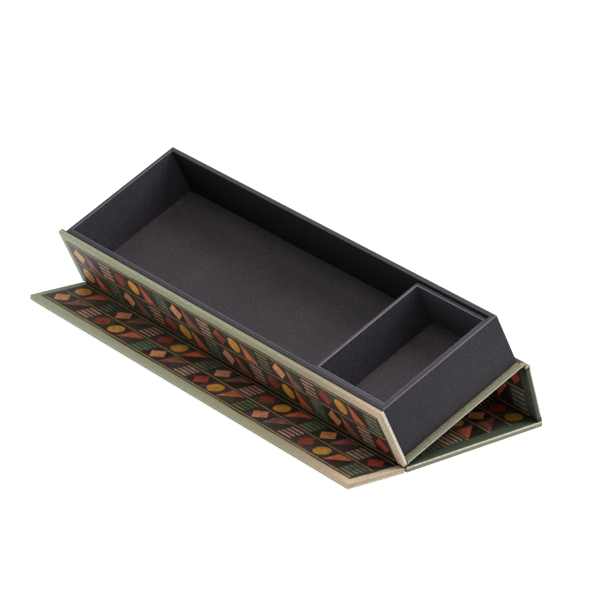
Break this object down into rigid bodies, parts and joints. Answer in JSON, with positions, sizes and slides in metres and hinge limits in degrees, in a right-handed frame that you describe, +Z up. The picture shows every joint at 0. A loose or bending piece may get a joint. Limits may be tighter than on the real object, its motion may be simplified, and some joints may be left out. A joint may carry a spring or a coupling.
{
  "type": "fountain pen case",
  "caption": "Long paper-covered board pen case with a tray, a small insert box and a wrap-around magnetic lid, folded back as a stand.",
  "frame": {"origin": "centre of the outline on the surface the case stands on", "axes": "+X along the case towards the end with the small compartment, +Y from the flap towards the spine, +Z up"},
  "size_m": [0.22, 0.0932, 0.0521],
  "materials": {
    "printed_paper": "satin print",
    "charcoal_paper": "matt, fine grain",
    "greyboard": "matt",
    "stay_paper": "matt kraft",
    "magnet": "plated"
  },
  "bodies": {
    "tray": {"base_board": "greyboard", "base_printed_paper": "printed_paper", "base_spine_hinge_paper": "printed_paper", "front_board": "greyboard", "front_corner_paper": "printed_paper", "front_magnet_left": "magnet", "front_magnet_right": "magnet", "front_printed_paper": "printed_paper", "insert_back_wall": "greyboard", "insert_divider_wall": "greyboard", "insert_end_wall": "greyboard", "insert_floor_board": "greyboard", "insert_floor_liner": "charcoal_paper", "insert_front_wall": "greyboard", "insert_wrap": "charcoal_paper", "tray_back_wall": "greyboard", "tray_corner_stay_back_left": "stay_paper", "tray_corner_stay_back_right": "stay_paper", "tray_corner_stay_front_left": "stay_paper", "tray_corner_stay_front_right": "stay_paper", "tray_floor_board": "greyboard", "tray_floor_liner": "charcoal_paper", "tray_front_wall": "greyboard", "tray_left_wall": "greyboard", "tray_right_wall": "greyboard", "tray_wrap": "charcoal_paper"},
    "spine": {"spine_board": "greyboard", "spine_printed_paper": "printed_paper", "spine_lining": "charcoal_paper"},
    "lid": {"lid_board": "greyboard", "lid_printed_paper": "printed_paper", "lid_lining": "charcoal_paper", "spine_lid_hinge_paper": "printed_paper", "lid_flap_hinge_paper": "printed_paper"},
    "flap": {"flap_board": "greyboard", "flap_printed_paper": "printed_paper", "flap_lining": "charcoal_paper", "flap_magnet_left": "magnet", "flap_magnet_right": "magnet"}
  },
  "joints": [
    {"name": "base_to_spine_hinge", "type": "hinge", "parent": "tray", "child": "spine", "pos_m": [0, 0.03777, 0.02907], "axis": [1, 0, 0], "range_deg": [0, 189.4], "deforming": ["base_spine_hinge_paper"]},
    {"name": "spine_to_lid_hinge", "type": "hinge", "parent": "spine", "child": "lid", "pos_m": [0, 0.04564, 0.00131], "axis": [1, 0, 0], "range_deg": [0, 194.5], "deforming": ["spine_lid_hinge_paper"]},
    {"name": "lid_to_flap_hinge", "type": "hinge", "parent": "lid", "child": "flap", "pos_m": [0, -0.01933, 0.00074], "axis": [1, 0, 0], "range_deg": [-5, 93], "deforming": ["lid_flap_hinge_paper"]}
  ]
}
